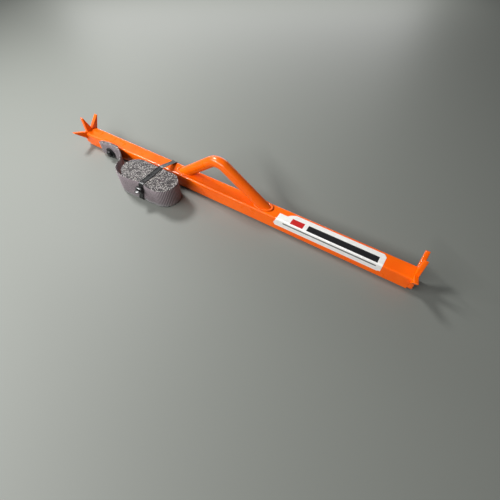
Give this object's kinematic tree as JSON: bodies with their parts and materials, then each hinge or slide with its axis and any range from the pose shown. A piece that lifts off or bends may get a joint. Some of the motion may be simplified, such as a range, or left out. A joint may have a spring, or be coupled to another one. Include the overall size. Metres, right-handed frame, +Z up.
{
  "type": "toothed arborist bar with strap",
  "caption": "Square steel bar with a toothed plate on each end, a bent carrying handle on top and a rolled webbing strap bolted to its side.",
  "frame": {"origin": "centre of the square tube's underside, half way between the two end plates", "axes": "+X along the bar from the strap end to the label end, +Z up towards the handle and the teeth, the strap on the -Y side"},
  "size_m": [0.812, 0.1461, 0.1076],
  "materials": {
    "orange_powder_coat": "glossy orange powder coat over steel",
    "grey_webbing": "grey ribbed polyester webbing",
    "pale_thread": "pale bonded sewing thread",
    "black_oxide_steel": "satin black steel",
    "zinc_steel": "dull zinc-plated steel",
    "black_nylon": "glossy black nylon",
    "label_film": "white printed vinyl with plain bands"
  },
  "bodies": {
    "root": {"main_tube": "orange_powder_coat", "toothed_plate_left": "orange_powder_coat", "toothed_plate_right": "orange_powder_coat", "plate_weld_left": "orange_powder_coat", "plate_weld_right": "orange_powder_coat", "handle": "orange_powder_coat", "handle_weld_left": "orange_powder_coat", "handle_weld_right": "orange_powder_coat", "anchor_bolt": "black_oxide_steel", "head_washer": "black_oxide_steel", "spacer_washer": "black_oxide_steel", "rivet_nut": "zinc_steel", "strap_run": "grey_webbing", "strap_roll": "grey_webbing", "tie_band": "black_nylon", "tie_head": "black_nylon", "tie_tail": "black_nylon", "tie_pawl": "black_nylon", "label": "label_film"},
    "strap_end": {"strap_eye": "grey_webbing", "eyelet": "zinc_steel", "eye_stitching": "pale_thread"}
  },
  "joints": [
    {"name": "strap_swivel", "type": "hinge", "parent": "root", "child": "strap_end", "pos_m": [-0.307, -0.0226, 0.016], "axis": [0, 1, 0], "range_deg": [-6, 6]}
  ]
}
